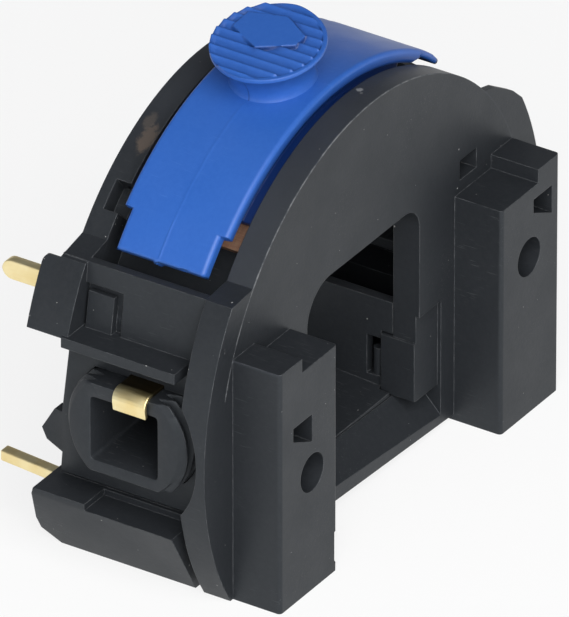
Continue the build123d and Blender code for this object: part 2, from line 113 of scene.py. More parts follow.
def edgeBend(tree, radius):
    # normal of a rounded edge, and how far it leans from the true face
    bevel = addNode(tree, "ShaderNodeBevel", {"Radius": radius * mm}, samples=6)
    face = addNode(tree, "ShaderNodeNewGeometry").outputs["Normal"]
    dot = addNode(tree, "ShaderNodeVectorMath", {0: bevel.outputs[0], 1: face},
                  operation="DOT_PRODUCT").outputs["Value"]
    return bevel.outputs[0], maths(tree, "SUBTRACT", 1.0, dot)


def scuffLines(tree, place, turn, width, length, level):
    # straight fine scratches: the peaks of a noise drawn out along one direction
    across, along = 1 / (width * mm), 1 / (length * mm)
    grid = stretched(tree, place, (across, along, across), turn)
    peaks = noise(tree, grid, 1.0, 1.0, 0.4)
    return span(tree, peaks, level, level + 0.05)


def specks(tree, place, pitch, size, share):
    # round specks at the middles of some cells
    cells = addNode(tree, "ShaderNodeTexVoronoi", {
        "Vector": place, "Scale": 1 / (pitch * mm), "Randomness": 1.0})
    dot = span(tree, cells.outputs["Distance"], size / pitch * 0.6, size / pitch, 1.0, 0.0)
    pick = addNode(tree, "ShaderNodeSeparateColor", {"Color": cells.outputs["Color"]})
    return product(tree, dot, maths(tree, "GREATER_THAN", pick.outputs[0], 1.0 - share))


def patchAt(tree, place, centre, reach, ragged):
    # soft patch round one point; a fine noise of scale ragged tears its edge
    grid = stretched(tree, place, tuple(1 / (r * mm) for r in reach))
    centre = tuple(c / r for c, r in zip(centre, reach))
    off = addNode(tree, "ShaderNodeVectorMath", {0: grid, 1: centre},
                  operation="DISTANCE").outputs["Value"]
    torn = noise(tree, place, ragged, 4.0, 0.65)
    off = maths(tree, "ADD", off, maths(tree, "MULTIPLY", torn, 1.4))
    return span(tree, off, 1.35, 1.75, 1.0, 0.0)


def rimLine(tree, place, rim):
    # thin line where the distance from the Y axis is the rim's and Y is near zero;
    # the second share is the whole rim, wherever that distance is met
    halfWidth = rim["halfWidth"] * mm
    x, y, z = addNode(tree, "ShaderNodeSeparateXYZ", {0: place}).outputs[:3]
    far = maths(tree, "SQRT", maths(tree, "ADD", product(tree, x, x), product(tree, z, z)))
    off = maths(tree, "ABSOLUTE", maths(tree, "SUBTRACT", far, rim["radius"] * mm))
    high = maths(tree, "GREATER_THAN", z, rim["above"] * mm)
    top = product(tree, span(tree, off, 0.01 * mm, halfWidth, 1.0, 0.0), high)
    off = maths(tree, "MAXIMUM", off, maths(tree, "ABSOLUTE", y))
    line = span(tree, off, halfWidth * 0.6, halfWidth, 1.0, 0.0)
    fading = span(tree, x, *(v * mm for v in rim["fadesOver"]), 1.0, 0.0)
    return product(tree, line, high, fading), top


# finishes

# how fine each noise of the moulded plastic is, in cells per metre
plasticScales = {
    "fleck": 2600, "brokenWear": 900, "rubbedPatches": 160, "tornEdge": 2400,
    "sheen": 240, "grain": 4200, "sink": 260,
}


def mouldedPlastic(name, look):
    # moulded plastic: mottled colour, fine grain, rubbed edges that are also painted
    # highlights, scratches, dust, and painted shade on pieces that carry a share of it
    made, tree, surface, place = newMaterial(name)
    cloud = noise(tree, place, look["cloudScale"], 4.0)
    colour = blendColour(tree, cloud, look["dark"], look["light"])
    fine = noise(tree, place, plasticScales["fleck"], 2.0, 0.7)
    colour = blendColour(tree, span(tree, fine, 0.35, 0.75, 0.0, 0.35),
                         colour, look["grainTint"])
    rounded, bend = edgeBend(tree, look["edgeRadius"])
    broken = noise(tree, place, plasticScales["brokenWear"], 5.0, 0.7)
    broken = span(tree, broken, 0.40, 0.60, 0.12, 1.0)
    # edges painted lighter: partly rubbed plastic, partly painted edge highlights
    edgeWearAndHighlight = product(tree, span(tree, bend, 0.02, 0.22), broken, look["edgeWearAndHighlight"])
    colour = blendColour(tree, edgeWearAndHighlight, colour, look["worn"])
    lines = maths(tree, "MAXIMUM",
                  scuffLines(tree, place, (0.2, 0.9, 0.3), 0.09, 1.7, 0.70),
                  scuffLines(tree, place, (1.1, -0.5, 0.8), 0.08, 1.3, 0.71))
    rubbed = span(tree, noise(tree, place, plasticScales["rubbedPatches"], 3.0), 0.48, 0.66)
    lines = product(tree, lines, rubbed)
    colour = blendColour(tree, product(tree, lines, look["scratches"]), colour, look["worn"])
    dust = maths(tree, "MAXIMUM", specks(tree, place, 1.6, 0.075, look["dust"]),
                 specks(tree, place, 0.62, 0.045, look["dust"] * 0.6))
    colour = blendColour(tree, product(tree, dust, 0.8), colour, look["dustColour"])
    for centre, reach, paint, share in look["marks"]:
        patch = patchAt(tree, place, centre, reach, plasticScales["tornEdge"])
        colour = blendColour(tree, product(tree, patch, share), colour, paint)
    if look["rubbedRimHighlight"]:
        line, top = rimLine(tree, place, look["rubbedRimHighlight"])
        colour = blendColour(tree, product(tree, top, cloud), colour, look["rimGrey"])
        # the near edge's line: rubbed plastic and a painted highlight, in the worn colour
        colour = blendColour(tree, product(tree, line, broken), colour, look["worn"])
    # painted shade: pieces that carry a share of it at their points are darkened towards
    # the shaded colour in grooves, under edges and on shaded sides
    paintedShade = addNode(tree, "ShaderNodeAttribute", attribute_name="paintedShade").outputs["Fac"]
    colour = blendColour(tree, paintedShade, colour, look["shaded"])
    tree.links.new(colour, surface.inputs["Base Color"])
    rough = span(tree, noise(tree, place, plasticScales["sheen"], 3.0), 0.3, 0.7,
                 look["roughness"] - 0.04, look["roughness"] + 0.06)
    rough = maths(tree, "ADD", rough, product(tree, dust, 0.3))
    tree.links.new(rough, surface.inputs["Roughness"])
    # grain, sink marks, scratches and dust raise or lower the skin
    grain = noise(tree, place, plasticScales["grain"], 3.0, 0.6)
    sink = noise(tree, place, plasticScales["sink"], 2.0)
    height = maths(tree, "ADD", product(tree, grain, look["grain"]),
                   product(tree, sink, look["sink"]))
    height = maths(tree, "SUBTRACT", height, product(tree, lines, 0.3))
    height = maths(tree, "ADD", height, product(tree, dust, 0.5))
    bump = addNode(tree, "ShaderNodeBump", {
        "Height": height, "Normal": rounded, "Strength": 0.5, "Distance": 0.03 * mm})
    tree.links.new(bump.outputs[0], surface.inputs["Normal"])
    setSockets(surface, {"IOR": look["ior"], "Specular Tint": look["tint"]})
    return made


charcoalLook = {
    "dark": (0.0140, 0.0158, 0.0185), "light": (0.0205, 0.0228, 0.0262),
    "grainTint": (0.030, 0.032, 0.036), "worn": (0.150, 0.155, 0.160),
    "shaded": (0.008, 0.009, 0.010),
    "dustColour": (0.34, 0.34, 0.33), "cloudScale": 130, "edgeRadius": 0.10,
    "edgeWearAndHighlight": 0.66, "scratches": 0.30, "dust": 0.30, "roughness": 0.44,
    "grain": 0.5, "sink": 0.35, "ior": 1.36, "tint": (0.87, 0.95, 1.0, 1.0),
    "marks": (
        # centre, reach, colour, share: a brown smear and a pale crumb on the rims
        ((-9.5, 12.7, 17.4), (1.3, 0.7, 1.3), (0.105, 0.080, 0.062), 0.7),
        ((-8.3, 13.3, 18.1), (0.8, 0.5, 0.8), (0.085, 0.070, 0.058), 0.6),
        ((0.77, 1.7, 19.84), (0.30, 0.26, 0.30), (0.30, 0.30, 0.29), 0.85),
        ((0.45, 1.35, 19.84), (0.14, 0.12, 0.14), (0.20, 0.20, 0.19), 0.6),
    ),
    # the rims are a little greyer than the walls, with a lighter line along the near
    # edge, partly rubbed plastic and partly a painted highlight, above one height,
    # that fades out between two places along X
    "rubbedRimHighlight": {"radius": 19.85, "halfWidth": 0.085, "above": 5, "fadesOver": (5, 10)},
    "rimGrey": (0.040, 0.044, 0.052),
}
charcoal = mouldedPlastic("charcoalPlastic", charcoalLook)

blueLook = {
    "dark": (0.0150, 0.086, 0.360), "light": (0.0250, 0.110, 0.425),
    "grainTint": (0.034, 0.126, 0.450), "worn": (0.13, 0.29, 0.62),
    "shaded": (0.002, 0.016, 0.100),
    "dustColour": (0.30, 0.42, 0.62), "cloudScale": 110, "edgeRadius": 0.12,
    "edgeWearAndHighlight": 0.12, "scratches": 0.12, "dust": 0.03, "roughness": 0.42,
    "grain": 0.3, "sink": 0.3, "ior": 1.50, "tint": (1.0, 1.0, 1.0, 1.0),
    "marks": (), "rubbedRimHighlight": None,
}
blue = mouldedPlastic("bluePlastic", blueLook)


def sheetMetal(name, look):
    # rolled sheet: drawn lines along Y, cloudy tarnish and brighter rubbed edges
    made, tree, surface, place = newMaterial(name)
    cloud = noise(tree, place, 420, 4.0)
    colour = blendColour(tree, span(tree, cloud, 0.3, 0.7), look["dull"], look["bright"])
    rounded, bend = edgeBend(tree, 0.08)
    colour = blendColour(tree, product(tree, span(tree, bend, 0.01, 0.2), 0.5),
                         colour, look["edge"])
    if look.get("paintedShadowSpan"):
        # painted shadow, dark brown, over the strip back from the lit face, fading out
        # towards it
        x = addNode(tree, "ShaderNodeSeparateXYZ", {0: place}).outputs[0]
        inner, outer = (v * mm for v in look["paintedShadowSpan"])
        back = span(tree, maths(tree, "ABSOLUTE", x), inner, outer, 0.92, 0.0)
        colour = blendColour(tree, back, colour, look["brown"])
    tree.links.new(colour, surface.inputs["Base Color"])
    drawn = noise(tree, stretched(tree, place, look["drawn"]), 1.0, 2.0)
    rough = span(tree, drawn, 0.3, 0.7, look["roughness"] - 0.06, look["roughness"] + 0.1)
    tree.links.new(rough, surface.inputs["Roughness"])
    bump = addNode(tree, "ShaderNodeBump", {
        "Height": drawn, "Normal": rounded, "Strength": 0.25, "Distance": 0.01 * mm})
    tree.links.new(bump.outputs[0], surface.inputs["Normal"])
    setSockets(surface, {"Metallic": 1.0})
    return made


brass = sheetMetal("paleBrass", {
    "dull": (0.86, 0.69, 0.33), "bright": (0.98, 0.86, 0.52), "edge": (0.78, 0.58, 0.26),
    "drawn": (5200, 420, 5200), "roughness": 0.42})
# the clip's strip is painted in shadow where it runs back under the shelf
clipBrass = sheetMetal("clipBrassPaintedShadow", {
    "dull": (0.90, 0.70, 0.30), "bright": (1.0, 0.90, 0.56), "edge": (0.80, 0.56, 0.20),
    "drawn": (5200, 420, 5200), "roughness": 0.38, "paintedShadowSpan": (20.3, 20.72),
    "brown": (0.045, 0.027, 0.010)})
tinned = sheetMetal("tinnedSteel", {
    "dull": (0.42, 0.42, 0.41), "bright": (0.62, 0.62, 0.61), "edge": (0.75, 0.75, 0.74),
    "drawn": (4200, 600, 4200), "roughness": 0.33})
aluminium = sheetMetal("brushedAluminium", {
    "dull": (0.60, 0.61, 0.62), "bright": (0.78, 0.79, 0.80), "edge": (0.88, 0.88, 0.88),
    "drawn": (500, 5200, 5200), "roughness": 0.36})
bronze = sheetMetal("springBronze", {
    "dull": (0.50, 0.30, 0.16), "bright": (0.72, 0.46, 0.26), "edge": (0.85, 0.62, 0.40),
    "drawn": (900, 5200, 900), "roughness": 0.28})


def laminate(name, face, fleck, gloss):
    # pressed laminate: fibre flecks crossing in a faint weave
    made, tree, surface, place = newMaterial(name)
    weave = product(tree,
                    noise(tree, stretched(tree, place, (5200, 900, 5200)), 1.0, 2.0),
                    noise(tree, stretched(tree, place, (900, 5200, 900)), 1.0, 2.0))
    colour = blendColour(tree, span(tree, weave, 0.15, 0.38), face, fleck)
    colour = blendColour(tree, span(tree, noise(tree, place, 240, 4.0), 0.3, 0.8, 0.0, 0.4),
                         colour, tuple(0.6 * c for c in face))
    tree.links.new(colour, surface.inputs["Base Color"])
    bump = addNode(tree, "ShaderNodeBump", {
        "Height": weave, "Strength": 0.3, "Distance": 0.02 * mm})
    tree.links.new(bump.outputs[0], surface.inputs["Normal"])
    rough = span(tree, weave, 0.1, 0.5, gloss, gloss + 0.12)
    tree.links.new(rough, surface.inputs["Roughness"])
    return made


brownBoard = laminate("brownLaminate", (0.235, 0.120, 0.075), (0.34, 0.20, 0.13), 0.42)
greenBoard = laminate("boardLaminate", (0.215, 0.145, 0.062), (0.31, 0.22, 0.11), 0.38)


ringHalfWidth = 0.16
ringPlaces = (6.1, 6.6, 7.1, 8.0)
ringPaint = {
    "brown": (0.25, 0.06, 0.03), "black": (0.03, 0.03, 0.03), "orange": (0.45, 0.16, 0.03),
    "gold": (0.55, 0.40, 0.10), "yellow": (0.55, 0.42, 0.03), "violet": (0.30, 0.05, 0.30),
    "cathode": (0.02, 0.02, 0.02),
}


def colourCode(*names):
    return [(x, ringPaint[name]) for x, name in zip(ringPlaces, names)]


def coatedPart(name, body, shade, roughness, rings=()):
    # lacquered bead or box: mottled lacquer with painted rings (place along X, paint)
    made, tree, surface, place = newMaterial(name)
    mottle = noise(tree, place, 900, 4.0)
    colour = blendColour(tree, span(tree, mottle, 0.3, 0.7), body, shade)
    x = addNode(tree, "ShaderNodeSeparateXYZ", {0: place}).outputs[0]
    for centre, paint in rings:
        off = maths(tree, "ABSOLUTE", maths(tree, "SUBTRACT", x, centre * mm))
        ring = span(tree, off, ringHalfWidth * mm, ringHalfWidth * 1.2 * mm, 1.0, 0.0)
        colour = blendColour(tree, ring, colour, paint)
    tree.links.new(colour, surface.inputs["Base Color"])
    rough = span(tree, mottle, 0.3, 0.7, roughness, roughness + 0.1)
    tree.links.new(rough, surface.inputs["Roughness"])
    bump = addNode(tree, "ShaderNodeBump", {
        "Height": noise(tree, place, 2400, 3.0), "Strength": 0.25, "Distance": 0.02 * mm})
    tree.links.new(bump.outputs[0], surface.inputs["Normal"])
    return made


nodeFinish = {
    "front_plate": charcoal, "rear_housing": charcoal,
    "left_brush_guide": charcoal, "right_brush_guide": charcoal,
    "speed_slider": blue, "wiper_spring": bronze,
    "left_brush_clip": clipBrass, "right_brush_clip": clipBrass,
    "upper_terminal": brass, "lower_terminal": brass,
    "speed_board": brownBoard, "control_board": greenBoard,
    "collector_track": tinned, "heat_sink": aluminium,
}
# node: material, body colour, shade, roughness, rings
coatedNodes = {
    "resistance_track": ("carbonTrack", (0.012, 0.012, 0.013), (0.03, 0.03, 0.03), 0.35),
    "triac": ("mouldedEpoxy", (0.012, 0.012, 0.013), (0.022, 0.022, 0.023), 0.5),
    "timing_capacitor": ("ochreFilm", (0.55, 0.30, 0.04), (0.62, 0.37, 0.07), 0.35),
    "suppression_capacitor": ("blueFilm", (0.03, 0.10, 0.28), (0.05, 0.14, 0.34), 0.35),
    "trigger_diode": ("glassBead", (0.05, 0.13, 0.30), (0.07, 0.17, 0.36), 0.2,
                      [(8.0, ringPaint["cathode"])]),
    "gate_resistor": ("tanLacquer", (0.50, 0.36, 0.20), (0.56, 0.42, 0.25), 0.35,
                      colourCode("brown", "black", "orange", "gold")),
    "charging_resistor": ("sandLacquer", (0.52, 0.38, 0.22), (0.58, 0.44, 0.27), 0.35,
                          colourCode("yellow", "violet", "orange", "gold")),
}
for node, look in coatedNodes.items():
    nodeFinish[node] = coatedPart(*look)
for node, finish in nodeFinish.items():
    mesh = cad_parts[node].data
    mesh.materials.clear()
    mesh.materials.append(finish)
print("finishes made:", len(bpy.data.materials))


# surfaces

def addPiece(name, surface, body, finish, sharp=35, paintedShade=None):
    # points in millimetres; faces are rows of corner numbers, triangles padded
    # with -1; a painted shade share for each point darkens the finish where shade falls
    points, faces = surface
    mesh = bpy.data.meshes.new(name)
    points = np.asarray(points, float).reshape(-1, 3) * mm
    sizes = np.where(faces[:, 3] < 0, 3, 4)
    corners = faces.ravel()[faces.ravel() >= 0]
    mesh.vertices.add(len(points))
    mesh.vertices.foreach_set("co", points.astype(np.float32).ravel())
    mesh.loops.add(len(corners))
    mesh.loops.foreach_set("vertex_index", corners.astype(np.int32))
    mesh.polygons.add(len(faces))
    starts = np.concatenate([[0], np.cumsum(sizes)[:-1]])
    mesh.polygons.foreach_set("loop_start", starts.astype(np.int32))
    mesh.update(calc_edges=True)
    if paintedShade is not None:
        shares = mesh.attributes.new("paintedShade", "FLOAT", "POINT")
        shares.data.foreach_set("value", np.asarray(paintedShade, np.float32))
    mesh.validate()
    mesh.shade_smooth()
    mesh.set_sharp_from_angle(angle=math.radians(sharp))
    mesh.materials.append(finish)
    piece = bpy.data.objects.new(name, mesh)
    bpy.context.scene.collection.objects.link(piece)
    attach(piece, body)
    return piece


def turnedOver(faces):
    # the same faces seen from the other side
    three = faces[:, 3] < 0
    faces = faces[:, ::-1].copy()
    faces[three] = np.roll(faces[three], -1, axis=1)
    return faces


def outward(points, faces):
    # faces turned so that the volume they enclose is positive
    points = np.asarray(points, float).reshape(-1, 3)
    a, b, c = points[faces[:, 0]], points[faces[:, 1]], points[faces[:, 2]]
    d = points[np.where(faces[:, 3] < 0, faces[:, 2], faces[:, 3])]
    volume = np.sum(a * (np.cross(b, c) + np.cross(c, d)))
    return points, faces if volume > 0 else turnedOver(faces)


def ringFaces(rows, columns, closed=False):
    # quads between closed rings; a fan to a pole closes each end,
    # or the last ring joins the first
    j = np.arange(columns)
    k = (j + 1) % columns
    i = np.arange(rows if closed else rows - 1)[:, None]
    low, high = i * columns, (i + 1) % rows * columns
    quads = np.stack([low + j, low + k, high + k, high + j], -1).reshape(-1, 4)
    if closed:
        return quads
    last, pole = (rows - 1) * columns, rows * columns
    none = np.full(columns, -1)
    start = np.stack([k, j, none + 1 + pole, none], -1)
    end = np.stack([last + j, last + k, none + 2 + pole, none], -1)
    return np.concatenate([quads, start, end])


def ringSurface(rings):
    # closed surface through rings, with a pole in the middle of both end rings
    ends = rings[[0, -1]].mean(axis=1)
    points = np.concatenate([rings.reshape(-1, 3), ends])
    return outward(points, ringFaces(len(rings), rings.shape[1]))


def joined(parts):
    # several closed surfaces as one mesh: points stacked, corner numbers moved on
    points, faces, count = [], [], 0
    for p, f in parts:
        points.append(np.asarray(p).reshape(-1, 3))
        faces.append(np.where(f < 0, -1, f + count))
        count += len(points[-1])
    return np.concatenate(points), np.concatenate(faces)


def mirrored(surface, lift=0.0):
    # the same surface at +X, raised by lift
    points, faces = surface
    return points * np.array([-1, 1, 1]) + np.array([0, 0, lift]), turnedOver(faces)


def roundedLoop(sideSteps, cornerSteps=4):
    # a rounded rectangle's loop in shares: place = side * (half - corner) + curl * corner
    turn = np.radians(np.linspace(0, 90, cornerSteps + 1))
    c, s = np.cos(turn), np.sin(turn)
    run = np.linspace(-1, 1, sideSteps + 1)[1:-1]
    one, nil = np.ones_like(run), np.zeros_like(run)
    unit = np.ones_like(c)
    side = np.concatenate([
        np.stack([unit, unit], 1), np.stack([-run, one], 1),
        np.stack([-unit, unit], 1), np.stack([-one, -run], 1),
        np.stack([-unit, -unit], 1), np.stack([run, -one], 1),
        np.stack([unit, -unit], 1), np.stack([one, run], 1)])
    curl = np.concatenate([
        np.stack([c, s], 1), np.stack([nil, one], 1),
        np.stack([-s, c], 1), np.stack([-one, nil], 1),
        np.stack([-c, -s], 1), np.stack([nil, -one], 1),
        np.stack([s, -c], 1), np.stack([one, nil], 1)])
    return side, curl


def arcBar(angles, y0, y1, r0, r1, corner, loop, centreX=0.0, rise=None, shift=None):
    # bar bent round an axis along Y: each ring is a rounded rectangle in Y and
    # radius, and the last rings shrink by the corner's quarter circle so the ends
    # are round too; rise lifts the top, shift moves points along the arc
    side, curl = loop
    y0, y1, r0, r1 = (np.broadcast_to(np.asarray(v, float), angles.shape)
                      for v in (y0, y1, r0, r1))
    turn = np.radians(np.linspace(90, 0, 6))[:-1]
    inset = corner * (1 - np.cos(turn))
    reach = np.degrees(corner * np.sin(turn) / r1.max())
    a = np.concatenate([angles[0] + reach[0] - reach, angles,
                        angles[-1] - reach[0] + reach[::-1]])
    shrink = np.concatenate([inset, np.zeros(len(angles)), inset[::-1]])
    lowY, highY, lowR, highR = (np.interp(a, angles, v)[:, None] for v in (y0, y1, r0, r1))
    halfY, halfR = (highY - lowY) / 2, (highR - lowR) / 2
    corner = np.minimum(corner, halfR * 0.9)
    shrink = np.minimum(shrink[:, None], corner)
    y = (lowY + highY) / 2 + side[:, 0] * (halfY - corner) + curl[:, 0] * (corner - shrink)
    r = (lowR + highR) / 2 + side[:, 1] * (halfR - corner) + curl[:, 1] * (corner - shrink)
    t = np.broadcast_to(a[:, None], y.shape)
    if rise is not None:
        top = curl[:, 1] > 0.99
        r = r + rise(t, y) * top
    if shift is not None:
        t = t + shift(t, y, r)
    t = np.radians(t)
    return ringSurface(np.stack([centreX + r * np.cos(t), y, r * np.sin(t)], -1))


# rear housing

# each form: a box of corners (low, high), the axis they move along (1 is Y, 2 is Z)
# and the place on it where they go; corners whose X is between the two in stays
# are left where they are
rearHousing = {
    "lowRightEnd": {"low": (17.4, 2.0, 11.95), "high": (18.15, 12.15, 12.05),
                    "axis": 2, "to": 10.7, "stays": (17.5, 17.6)},
    "bevelBelowEar": {"low": (-19.05, 14.1, -5.25), "high": (-18.95, 14.2, 6.3),
                      "axis": 1, "to": 12.97},
    # the floor is one plane that falls from Y 12.1 to the front plate
    "floorFront": {"low": (-8.65, 2.2, -7.05), "high": (5.7, 2.3, -6.95),
                   "axis": 2, "to": -7.60},
    "floorCorner": {"low": (5.6, 3.15, -7.05), "high": (6.1, 3.25, -6.95),
                    "axis": 2, "to": -7.542},
}


def reworkedSolid(node, moves):
    # the CAD solid's triangles with their corners merged where they meet, so that
    # a moved corner takes every triangle round it along
    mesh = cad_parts[node].data
    points = np.empty(len(mesh.vertices) * 3, np.float32)
    mesh.vertices.foreach_get("co", points)
    corners = np.empty(len(mesh.loops), np.int32)
    mesh.loops.foreach_get("vertex_index", corners)
    points, merged = np.unique(np.round(points.reshape(-1, 3) / mm, 3), axis=0,
                               return_inverse=True)
    faces = merged.ravel()[corners].reshape(-1, 3)
    whole = (faces[:, 0] != faces[:, 1]) & (faces[:, 1] != faces[:, 2]) \
        & (faces[:, 2] != faces[:, 0])
    faces = faces[whole]
    for move in moves.values():
        chosen = np.all((points > move["low"]) & (points < move["high"]), axis=1)
        if "stays" in move:
            near, far = move["stays"]
            chosen &= (points[:, 0] < near) | (points[:, 0] > far)
        points[chosen, move["axis"]] = move["to"]
    return points, np.column_stack([faces, np.full(len(faces), -1)])


rear = addPiece("rearHousing", reworkedSolid("rear_housing", rearHousing),
                "housing", charcoal)
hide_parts("rear_housing")
print("rear housing made:", len(rear.data.polygons), "faces")


# slider

# angles are degrees up from +X round the motor axis, lengths are millimetres;
# cover, tab and footY are places along Y
slider = {
    # band: its right end, both ends of the wide cover, and its left end
    "centreX": -0.35, "outerR": 21.0, "thickness": 1.05, "cover": (2.6, 11.25),
    "tab": (3.25, 10.6), "angles": (47.4, 59.4, 133.5, 143.0), "corner": 0.32,
    "samples": (26, 120, 24),
    # the right tab is a thin hook: its inner radius at three angles, and its rounded
    # tip; beside it the cover's end face leans in under the cover
    "hookAngles": (47.4, 58.1, 60.3), "hookR": (20.45, 20.45, 19.95),
    "tipAngle": 3.0, "tipR": 20.85, "lean": 2.2, "leanOver": 2.0,
    # painted shade on the -Y side, from this far below the top, deepening over this height
    "sideShade": 0.5, "sideShadeFrom": 0.30, "sideShadeOver": 0.35,
    # skirts that hang from the cover and feet that run in the rims' grooves, in painted
    # shade
    "skirt": 0.5, "skirtInset": 0.75, "skirtEnds": (64.8, 128.5), "skirtSamples": 90,
    "skirtCorner": 0.1, "skirtShade": 0.9, "footR": (18.45, 18.95),
    "footY": (1.55, 12.75), "rootInBand": 0.3, "footInSkirt": 0.05,
    # mould seam, and the chip and the nick in the left end
    "seamY": 7.05, "seamRise": 0.03, "seamWidth": 0.05,
    "nibY": (7.25, 4.9), "nibReach": (0.17, -0.10), "nibWidth": (0.16, 0.3),
    "nibOver": 0.6,
    # knob: its top's middle is lifted above the band and set aside from the tilted
    # axis; the neck's radii are at the band and under the disc, and its fillet has
    # a width at the band and the share of the height over which it dies away
    "lift": 3.18, "aside": 1.865, "knobY": 6.9, "tilt": 101.5, "knobR": 4.18,
    "neckR": (2.95, 4.02), "neckFillet": (0.22, 0.14), "discUnder": -0.50,
    "pitch": 0.9, "ridge": 0.36,
    # one ridge: places along the pitch, heights as shares of the ridge, painted shade
    "tooth": ((0, 0.25, 0.55, 0.74, 0.80, 0.90, 1.0),
              (-1.0, -0.88, -0.50, -0.06, -0.03, -1.0, -1.0)),
    "shade": (0.55, 0.30, 0.12, 0.0, 0.0, 1.0, 0.75), "shadeDepth": 0.85,
    # smooth rim along the -Y half of the edge, ridges that get lower towards the
    # edge, and the pad with a painted shadow under its own edge
    "rimWidth": 0.4, "rimDrop": 0.16, "rimEdge": 0.10, "rimGrowsOver": 1.6,
    "ridgeLoss": 0.55, "edgeFall": 0.05, "padEdge": 0.10, "padShadow": 0.22,
    # neck: half width of the parting line, how dark it is, and the painted shade on the
    # neck's top
    "partingHalf": 0.05, "neckShades": (0.8, 0.32),
    # pad's corners: across the ridges and along them, from the knob's middle
    "pad": ((2.1, 3.0), (2.85, 0.1), (1.55, -2.2), (0.35, -2.1), (-1.05, 0.45), (0.3, 3.2)),
}


def sliderBand(s):
    # bar bent round the motor axis: its width along Y is the cover's between the
    # tab angles and the tab's beyond them; skirts and feet are thinner bars below
    low, tabLow, tabHigh, high = s["angles"]
    outer, inner = s["outerR"], s["outerR"] - s["thickness"]
    edge = np.degrees(s["corner"] / outer)
    step = 0.10
    ends = ((low + edge, tabLow - step), (tabLow + step, tabHigh - step),
            (tabHigh + step, high - edge))
    angles = np.concatenate([np.linspace(*pair, count)
                             for pair, count in zip(ends, s["samples"])])
    wide = (angles > tabLow) & (angles < tabHigh)
    y0 = np.where(wide, s["cover"][0], s["tab"][0])
    y1 = np.where(wide, s["cover"][1], s["tab"][1])
    tip = np.clip((low + s["tipAngle"] - angles) / s["tipAngle"], 0, 1)
    r0 = np.interp(angles, s["hookAngles"], s["hookR"])
    r1 = outer + tip * (s["tipR"] - outer)

    def seam(a, y):
        # mould seam: a low bell-shaped line from the knob to the end
        bell = np.exp(-((y - s["seamY"]) / s["seamWidth"]) ** 2)
        return s["seamRise"] * bell * (a > s["tilt"])

    def shift(t, y, r):
        # left end: chip at the gate and a nick beside it, as bell-shaped bumps;
        # right end: the cover's end face leans under, beside the hook
        bumps = sum(reach * np.exp(-((y - middle) / width) ** 2)
                    for middle, reach, width in zip(s["nibY"], s["nibReach"], s["nibWidth"]))
        over = s["nibOver"]
        left = np.degrees(bumps / r) * np.clip((t - angles[-1] + over) / over, 0, 1)
        beside = (y < s["tab"][0] - 0.01) | (y > s["tab"][1] + 0.01)
        under = np.clip((s["hookR"][0] - r) / (s["hookR"][0] - s["hookR"][2]), 0, 1)
        right = np.clip((tabLow + s["lean"] - t) / s["leanOver"], 0, 1) * (t > tabLow)
        return left + s["lean"] * under * right * beside

    bar = arcBar(angles, y0, y1, r0, r1, s["corner"], roundedLoop(96, 5),
                 s["centreX"], seam, shift)
    # painted shade on the -Y side, deeper towards its foot
    x, y, z = bar[0].T
    down = outer - s["sideShadeFrom"] - np.hypot(x - s["centreX"], z)
    side = y < s["cover"][0] + 0.12
    paintedShade = [np.clip(down / s["sideShadeOver"], 0, 1) * side * s["sideShade"]]
    parts = [bar]
    plain = roundedLoop(2, 3)
    skirt = np.linspace(*s["skirtEnds"], s["skirtSamples"])
    near, far = s["cover"][0] + s["skirtInset"], s["cover"][1] - s["skirtInset"]
    foot, root = s["footR"][0], inner + s["rootInBand"]
    for y0, y1, r0, r1 in (
            (near, near + s["skirt"], foot, root),
            (far - s["skirt"], far, foot, root),
            (s["footY"][0], near + s["skirt"] - s["footInSkirt"], *s["footR"]),
            (far - s["skirt"] + s["footInSkirt"], s["footY"][1], *s["footR"])):
        parts.append(arcBar(skirt, y0, y1, r0, r1, s["skirtCorner"], plain))
        # skirts and feet take nearly full painted shade
        paintedShade.append(np.full(len(parts[-1][0]), s["skirtShade"]))
    return joined(parts), np.concatenate(paintedShade)


def insidePolygon(s, t, corners):
    # signed distance to a polygon's edges, positive inside
    corners = np.array(corners, float)
    best = np.full(s.shape, 1e9)
    sign = np.zeros(s.shape, bool)
    for (x0, y0), (x1, y1) in zip(corners, np.roll(corners, -1, axis=0)):
        dx, dy = x1 - x0, y1 - y0
        u = np.clip(((s - x0) * dx + (t - y0) * dy) / (dx * dx + dy * dy), 0, 1)
        best = np.minimum(best, np.hypot(s - x0 - u * dx, t - y0 - u * dy))
        crosses = (y0 > t) != (y1 > t)
        sign ^= crosses & (s < dx * (t - y0) / np.where(dy == 0, 1e-9, dy) + x0)
    return np.where(sign, best, -best)


